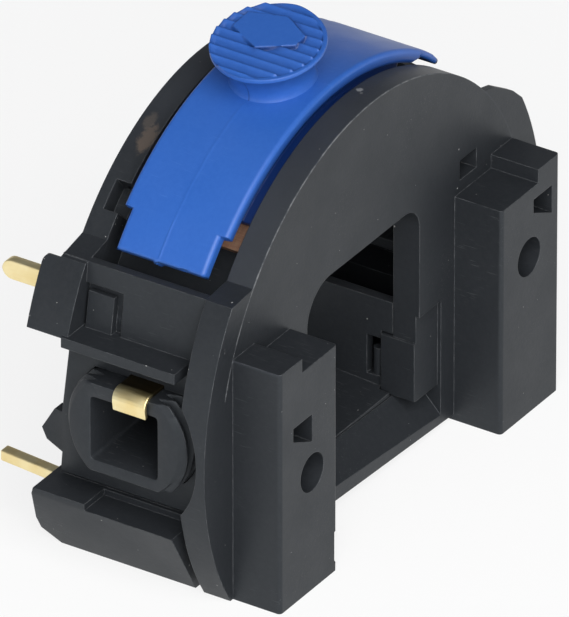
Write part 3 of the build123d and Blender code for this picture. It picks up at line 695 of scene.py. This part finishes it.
def knobDisc(s, centre, across, along, up):
    # disc cut in chords along the ridges: each column runs over the top, down the
    # side and back under the disc; the top is a saw-tooth across the columns, level
    # on the pad and dropped on the -Y half of the rim
    radius, under = s["knobR"], s["discUnder"]
    steps, heights = np.array(s["tooth"])
    teeth = (np.arange(-5, 5)[:, None] + steps[:-1]).ravel() * s["pitch"]
    circle = radius * np.sin(np.radians(np.linspace(-90, 90, 61)))
    column = np.unique(np.round(np.concatenate([
        teeth[np.abs(teeth) < radius - 0.02], circle[1:-1],
        np.arange(-3.96, 4.0, 0.06), [-radius + 0.004, radius - 0.004]]), 4))
    phase = (column / s["pitch"]) % 1.0
    chord = np.sqrt(np.maximum(radius ** 2 - column ** 2, 0))[:, None]
    v = np.linspace(-1, 1, 241)
    reach = np.hypot(column[:, None], chord * v)
    # how far each point lies inside the pad, and its shares of the pad and the rim
    level = insidePolygon(column[:, None] + 0 * v, chord * v, s["pad"])
    pad = np.clip(level / s["padEdge"] + 0.5, 0, 1)
    rim = np.clip((reach - radius + s["rimWidth"]) / s["rimEdge"], 0, 1)
    rim = rim * np.clip(-chord * v / s["rimGrowsOver"], 0, 1)
    # the ridges get lower towards the edge, and the edge itself is rounded off
    tooth = (np.interp(phase, steps, heights) * s["ridge"])[:, None]
    nearEdge = np.clip((reach - radius + s["rimWidth"]) / s["rimWidth"], 0, 1)
    tooth = tooth * (1 - s["ridgeLoss"] * nearEdge)
    fall = np.clip((np.abs(v) - 0.97) / 0.03, 0, 1) ** 2 * s["edgeFall"]
    height = tooth * (1 - pad) * (1 - rim) - s["rimDrop"] * rim - fall
    # painted shade in the grooves, and a painted shadow below the pad's edge on its -Y side
    paintedDiscShade = np.interp(phase, steps, s["shade"])[:, None]
    shadow = np.exp(-np.maximum(-level, 0) / s["padShadow"])
    shadow = shadow * np.clip(s["rimGrowsOver"] - chord * v, 0, 1)
    wall = np.clip((0.06 - level) / 0.05, 0, 1)
    paintedDiscShade = np.maximum(paintedDiscShade * (1 - pad), shadow * wall) * (1 - rim)
    # down both sides and back under the disc
    down = np.linspace(0, 1, 5)[1:]
    back = np.linspace(0.97, -0.97, 12)
    first, final = height[:, :1], height[:, -1:]
    sideFirst = first + (under + s["edgeFall"] - first) * down
    sideFinal = final + (under + s["edgeFall"] - final) * down
    still = np.ones(len(down))
    loopT = chord * np.concatenate([v, still, back, -still])
    loopZ = np.concatenate([height, sideFinal, np.full((len(column), len(back)), under),
                            sideFirst[:, ::-1]], 1)
    rings = centre + column[:, None, None] * across + loopT[..., None] * along \
        + loopZ[..., None] * up
    paintedShade = np.zeros(rings.shape[:2])
    paintedShade[:, :len(v)] = paintedDiscShade * s["shadeDepth"]
    return ringSurface(rings), paintedShade


def knobNeck(s, centre, across, along, up):
    # surface turned round the disc's axis, from just inside the band up into the
    # disc: its radius grows with the square of the height, and a small fillet over
    # the band dies away as a power of e
    turn = np.linspace(0, 2 * math.pi, 241)[:-1]
    w = np.concatenate([[-0.06], np.linspace(0, 0.2, 12)[:-1], np.linspace(0.2, 1, 22)])
    low, high = s["neckR"]
    fillet, filletOver = s["neckFillet"]
    r = low + (high - low) * np.clip(w, 0, 1) ** 2 + fillet * np.exp(-w / filletOver)
    r[0] = r[1]
    ss, tt = r[:, None] * np.cos(turn), r[:, None] * np.sin(turn)
    # the band's round top under each point, measured from the disc's top
    middle = s["aside"] - s["centreX"] * across[0]
    ground = np.sqrt(s["outerR"] ** 2 - (middle + ss) ** 2) \
        + s["centreX"] * up[0] - (s["outerR"] + s["lift"])
    zz = ground + (s["discUnder"] + 0.03 - ground) * w[:, None]
    rings = centre + ss[..., None] * across + tt[..., None] * along + zz[..., None] * up
    # a dark parting line runs down the -X side, and painted shade darkens the neck under the
    # disc
    line = (np.abs(tt) < s["partingHalf"]) & (ss < 0)
    underDisc = np.clip((w[:, None] - 0.25) / 0.6, 0, 1)
    partingShade, neckShade = s["neckShades"]
    return ringSurface(rings), np.maximum(partingShade * line, neckShade * underDisc)


def sliderKnob(s):
    # disc and neck share the tilted frame of the knob: across the ridges, along
    # them, and up through the middle of the top
    tilt = math.radians(s["tilt"])
    up = np.array([math.cos(tilt), 0, math.sin(tilt)])
    across = np.array([up[2], 0, -up[0]])
    along = np.array([0, 1.0, 0])
    centre = (s["outerR"] + s["lift"]) * up + s["aside"] * across + s["knobY"] * along
    disc, discPaintedShade = knobDisc(s, centre, across, along, up)
    neck, neckPaintedShade = knobNeck(s, centre, across, along, up)
    # each surface ends with its two poles, which get no painted shade
    paintedShade = np.concatenate([discPaintedShade.ravel(), [0, 0], neckPaintedShade.ravel(), [0, 0]])
    return joined([disc, neck]), paintedShade


bandSurface, bandPaintedShade = sliderBand(slider)
band = addPiece("sliderBand", bandSurface, "slider", blue, 35, bandPaintedShade)
knobSurface, knobPaintedShade = sliderKnob(slider)
knob = addPiece("sliderKnob", knobSurface, "slider", blue, 28, knobPaintedShade)
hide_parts("speed_slider")
print("slider made:", len(band.data.polygons) + len(knob.data.polygons), "faces")


# brush guides

# places are the left guide's; the right one is its mirror image, raised
guide = {
    "middle": (7.3, 0.6), "radius": 5.1, "depth": 0.72, "pitch": 0.85,
    "face": -21.0, "root": -17.6, "end": (-9.2, -11.5), "flat": (-2.9, 4.2),
    "bore": ((4.5, 10.08), (-2.0, 3.1)), "wall": (0.95, 0.85), "raise": 2.9,
    # one thread: places along the pitch, depths as shares of the groove's
    "thread": ((0, 0.08, 0.42, 0.52, 0.88, 1), (0, 0, 1, 1, 0, 0)),
    # plain lead before the thread, and how far it is turned down
    "lead": 0.22, "leadShare": 0.75,
    # bevels at the bore's mouth and on the edges, and the corners' roundness
    "mouth": 0.10, "edge": 0.06, "cornerShare": 0.10,
}


def boxReach(angle, halfWidth, halfHeight, corner):
    # distance from a rounded rectangle's middle to its edge at an angle: the
    # curve where the two shares of the half sizes, raised to a power, add up to 1
    power = 2 / corner
    return ((np.abs(np.cos(angle)) / halfWidth) ** power
            + (np.abs(np.sin(angle)) / halfHeight) ** power) ** (-1 / power)


def brushGuide(s, end):
    # one closed skin in rings round the bore: thread, face, bore, tube and step.
    # The thread's radius falls and rises once per pitch and climbs one pitch a turn;
    # the flats hold its height between two planes.
    (y0, y1), (z0, z1) = s["bore"]
    boreY, boreZ = (y0 + y1) / 2, (z0 + z1) / 2
    halfY, halfZ = (y1 - y0) / 2, (z1 - z0) / 2
    turn = np.linspace(0, 2 * math.pi, 241)[:-1]
    cosine, sine = np.cos(turn), np.sin(turn)

    def place(x, reach, centre):
        y, z = centre[0] + reach * cosine, centre[1] + reach * sine
        z = np.clip(z, *s["flat"])
        return np.stack([np.broadcast_to(x, y.shape), y, z], -1)

    x = np.linspace(s["root"], s["face"] + s["lead"], 44)
    phase = ((x[:, None] - s["face"]) / s["pitch"] - turn / (2 * math.pi)) % 1.0
    radius = s["radius"] - s["depth"] * np.interp(phase, *s["thread"])
    rings = [place(x0, r, s["middle"]) for x0, r in zip(x, radius)]
    edge, mouth, face = s["edge"], s["mouth"], s["face"]
    lead = np.full_like(turn, s["radius"] - s["depth"] * s["leadShare"])
    rings.append(place(face + edge / 2, lead, s["middle"]))
    rings.append(place(face, lead - edge, s["middle"]))
    bore = boxReach(turn, halfY, halfZ, s["cornerShare"])
    hole = (boreY, boreZ)
    for x0, grow in ((face, mouth), (face + mouth * 0.3, mouth * 0.3), (face + mouth, 0.0),
                     (s["root"], 0.0), (end - 0.08, 0.0), (end, edge)):
        rings.append(place(x0, bore + grow, hole))
    tube = boxReach(turn, halfY + s["wall"][0], halfZ + s["wall"][1], s["cornerShare"])
    for x0, grow in ((end, -edge), (end - edge, 0.0), (s["root"] + 0.02, 0.0)):
        rings.append(place(x0, tube + grow, hole))
    rings = np.array(rings)
    return outward(rings.reshape(-1, 3), ringFaces(len(rings), len(turn), closed=True))


leftGuide = addPiece("leftBrushGuide", brushGuide(guide, guide["end"][0]), "housing",
                     charcoal)
rightGuide = addPiece("rightBrushGuide",
                      mirrored(brushGuide(guide, guide["end"][1]), guide["raise"]),
                      "housing", charcoal)
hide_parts("left_brush_guide")
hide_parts("right_brush_guide")
print("brush guides made:", len(leftGuide.data.polygons), "faces each")


# brass strips

def filletPath(corners, radii, steps=8):
    # straight runs joined by arcs that touch both runs
    corners = np.array(corners, float)
    path = [corners[0]]
    for before, corner, after, radius in zip(corners, corners[1:], corners[2:], radii):
        a = (before - corner) / np.linalg.norm(before - corner)
        b = (after - corner) / np.linalg.norm(after - corner)
        half = math.acos(float(np.clip(a @ b, -1, 1))) / 2
        reach = radius / math.tan(half)
        middle = corner + (a + b) / np.linalg.norm(a + b) * radius / math.sin(half)
        first, final = corner + a * reach - middle, corner + b * reach - middle
        angle = math.acos(float(np.clip(first @ final / radius ** 2, -1, 1)))
        t = np.linspace(0, 1, steps + 1)[:, None]
        path.extend(middle + (np.sin((1 - t) * angle) * first + np.sin(t * angle) * final)
                    / math.sin(angle))
    path.append(corners[-1])
    return np.array(path)


def strip(path, widthAxis, width, thickness, corner, tipRound=False):
    # flat strip: a rounded rectangle carried along a path, its width along widthAxis;
    # each end is rounded by the corner's quarter circle, or the far one is a half
    # circle of the strip's width
    side, curl = roundedLoop(2, 3)
    widthAxis = np.array(widthAxis, float)
    tangent = np.gradient(path, axis=0)
    tangent /= np.linalg.norm(tangent, axis=1)[:, None]
    turn = np.radians(np.linspace(90, 0, 5))
    inset, reach = corner * (1 - np.cos(turn)), corner * (1 - np.sin(turn))
    start = path[0] + tangent[0] * reach[:, None]
    if tipRound:
        swing = np.radians(np.linspace(0, 84, 13))
        tip = path[-1] + tangent[-1] * np.sin(swing)[:, None] * width / 2
        tipWidth, tipShrink = width / 2 * np.cos(swing), np.zeros(len(swing))
    else:
        tip = path[-1] - tangent[-1] * reach[::-1, None]
        tipWidth, tipShrink = np.full(len(turn), width / 2), inset[::-1]
    spine = np.concatenate([start, path[1:-1], tip])
    inner = np.full(len(path) - 2, width / 2)
    halfWidth = np.concatenate([np.full(len(turn), width / 2), inner, tipWidth])[:, None]
    shrink = np.concatenate([inset, 0 * inner, tipShrink])[:, None]
    tangent = np.concatenate([np.repeat(tangent[:1], len(start), 0), tangent[1:-1],
                              np.repeat(tangent[-1:], len(tip), 0)])
    normal = np.cross(tangent, widthAxis)
    normal /= np.linalg.norm(normal, axis=1)[:, None]
    corner = np.minimum(corner, halfWidth * 0.9)
    shrink = np.minimum(shrink, corner)
    u = side[:, 0] * (halfWidth - corner) + curl[:, 0] * (corner - shrink)
    w = side[:, 1] * (thickness / 2 - corner) + curl[:, 1] * (corner - shrink)
    return ringSurface(spine[:, None, :] + u[..., None] * widthAxis
                       + w[..., None] * normal[:, None, :])


# bends: the radius over the guide's edge and that of the bulged lip
clip = {"root": -9.6, "face": -21.17, "top": 4.37, "lip": 2.85, "y": (5.25, 8.0),
        "thickness": 0.3, "bends": (0.7, 1.2), "bulge": 0.12, "corner": 0.07}


def brushClip(s):
    # strip that runs out over the guide, turns down over its face and bulges a
    # little outwards halfway down
    y = sum(s["y"]) / 2
    half = (s["top"] + s["lip"]) / 2
    path = filletPath([(s["root"], y, s["top"]), (s["face"], y, s["top"]),
                       (s["face"] - s["bulge"], y, half), (s["face"], y, s["lip"])],
                      s["bends"])
    return strip(path, (0, 1, 0), s["y"][1] - s["y"][0], s["thickness"], s["corner"])


leftClip = addPiece("leftBrushClip", brushClip(clip), "housing", clipBrass)
rightClip = addPiece("rightBrushClip", mirrored(brushClip(clip), guide["raise"]),
                     "housing", clipBrass)
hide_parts("left_brush_clip")
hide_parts("right_brush_clip")

terminals = {
    "upperTerminal": {
        "path": ((-15.35, 12.9, 9.275), (-17.85, 12.9, 9.275), (-17.85, 18.425, 9.275)),
        "bends": (0.5,), "width": 1.55, "thickness": 0.8, "corner": 0.1, "round": True,
        "node": "upper_terminal"},
    "lowerTerminal": {
        "path": ((-15.05, 12.9, -6.3), (-18.2, 12.9, -6.3), (-18.2, 14.6, -6.27),
                 (-18.2, 19.2, -5.93)),
        "bends": (0.5, 4.0), "width": 0.85, "thickness": 0.9, "corner": 0.1,
        "round": False, "node": "lower_terminal"},
}
for name, s in terminals.items():
    path = filletPath(s["path"], s["bends"])
    surface = strip(path, (0, 0, 1), s["width"], s["thickness"], s["corner"], s["round"])
    piece = addPiece(name, surface, "housing", brass)
    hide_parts(s["node"])
print("brass strips made")


# floor, light and camera

studio = {
    "floorZ": -11.63, "floorReach": 4000, "floorColour": (0.86, 0.86, 0.855),
    "lamps": (
        # towards, distance, size, watts
        ((-0.52, -0.62, 0.75), 420, 420, 2.1),
        ((-0.72, -0.50, 0.25), 420, 260, 0.45),
        ((-1.0, -0.15, 0.60), 420, 300, 0.25),
    ),
    "floorGlow": 1.0, "glowShare": 0.82,
    # world: pale up to the first height of haze and dim from the second, both given
    # as the sine of the angle above the horizon
    "sky": (0.145, 0.150, 0.162), "horizon": (0.80, 0.80, 0.80), "haze": (0.10, 0.22),
}


def paleFloor(s):
    reach = s["floorReach"] * mm
    z = s["floorZ"] * mm
    mesh = bpy.data.meshes.new("floor")
    mesh.from_pydata([(-reach, -reach, z), (reach, -reach, z), (reach, reach, z),
                      (-reach, reach, z)], [], [(0, 1, 2, 3)])
    made, tree, surface, place = newMaterial("palePaper")
    mottle = noise(tree, place, 30, 3.0)
    shade = tuple(0.985 * c for c in s["floorColour"])
    colour = blendColour(tree, mottle, shade, s["floorColour"])
    tree.links.new(colour, surface.inputs["Base Color"])
    setSockets(surface, {"Roughness": 0.9, "Specular IOR Level": 0.2})
    # what looks at the floor sees it mostly by its own pale glow, so the
    # lamps can stay low; the rest is lit, and keeps the object's shadow
    rays = addNode(tree, "ShaderNodeLightPath").outputs
    seen = maths(tree, "MAXIMUM", rays["Is Camera Ray"],
                 maths(tree, "MAXIMUM", rays["Is Glossy Ray"], rays["Is Transmission Ray"]))
    glow = addNode(tree, "ShaderNodeEmission", {
        "Color": (s["floorGlow"],) * 3 + (1,), "Strength": 1.0})
    mix = addNode(tree, "ShaderNodeMixShader", {
        0: product(tree, seen, s["glowShare"]), 1: surface.outputs[0], 2: glow.outputs[0]})
    tree.links.new(mix.outputs[0], tree.nodes["Material Output"].inputs["Surface"])
    mesh.materials.append(made)
    floor = bpy.data.objects.new("floor", mesh)
    bpy.context.scene.collection.objects.link(floor)


def softLamps(s):
    # disc lamps that face the origin, and a world that is paler at the horizon
    for number, (towards, distance, size, watts) in enumerate(s["lamps"]):
        data = bpy.data.lights.new(f"softLamp{number}", "AREA")
        data.shape, data.size, data.energy = "DISK", size * mm, watts
        lamp = bpy.data.objects.new(data.name, data)
        way = Vector(towards).normalized()
        lamp.location = way * distance * mm
        lamp.rotation_mode = "QUATERNION"
        lamp.rotation_quaternion = way.to_track_quat("Z", "Y")
        bpy.context.scene.collection.objects.link(lamp)
    world = bpy.data.worlds.new("studio")
    bpy.context.scene.world = world
    world.use_nodes = True
    tree = world.node_tree
    back = tree.nodes["Background"]
    way = addNode(tree, "ShaderNodeTexCoord").outputs["Generated"]
    height = addNode(tree, "ShaderNodeSeparateXYZ", {0: way}).outputs[2]
    pale = blendColour(tree, span(tree, height, *s["haze"]), s["horizon"], s["sky"])
    tree.links.new(pale, back.inputs["Color"])
    back.inputs["Strength"].default_value = 1.0


# field is what the picture's longer side covers at the object; aim is the place of
# the picture's middle, to the right of the origin and above it
camera = {"azimuth": -57.22, "elevation": 30.87, "distance": 1500, "field": 43.4507,
          "aim": (-6.26, 2.52), "sensor": 36}


def addCamera(s):
    # back, right and up are the camera's own axes
    a, e = math.radians(s["azimuth"]), math.radians(s["elevation"])
    back = Vector((math.sin(a) * math.cos(e), -math.cos(a) * math.cos(e), math.sin(e)))
    right = Vector((math.cos(a), math.sin(a), 0))
    up = back.cross(right)
    data = bpy.data.cameras.new("camera")
    data.sensor_width = s["sensor"]
    data.lens = s["sensor"] * s["distance"] / s["field"]
    data.clip_start, data.clip_end = 0.05, 20
    view = bpy.data.objects.new("camera", data)
    spot = back * s["distance"] + right * s["aim"][0] + up * s["aim"][1]
    turn = Matrix((right, up, back)).transposed().to_4x4()
    view.matrix_world = Matrix.Translation(spot * mm) @ turn
    bpy.context.scene.collection.objects.link(view)
    bpy.context.scene.camera = view


paleFloor(studio)
softLamps(studio)
addCamera(camera)
bpy.context.scene.view_settings.view_transform = "Standard"
print("studio made")
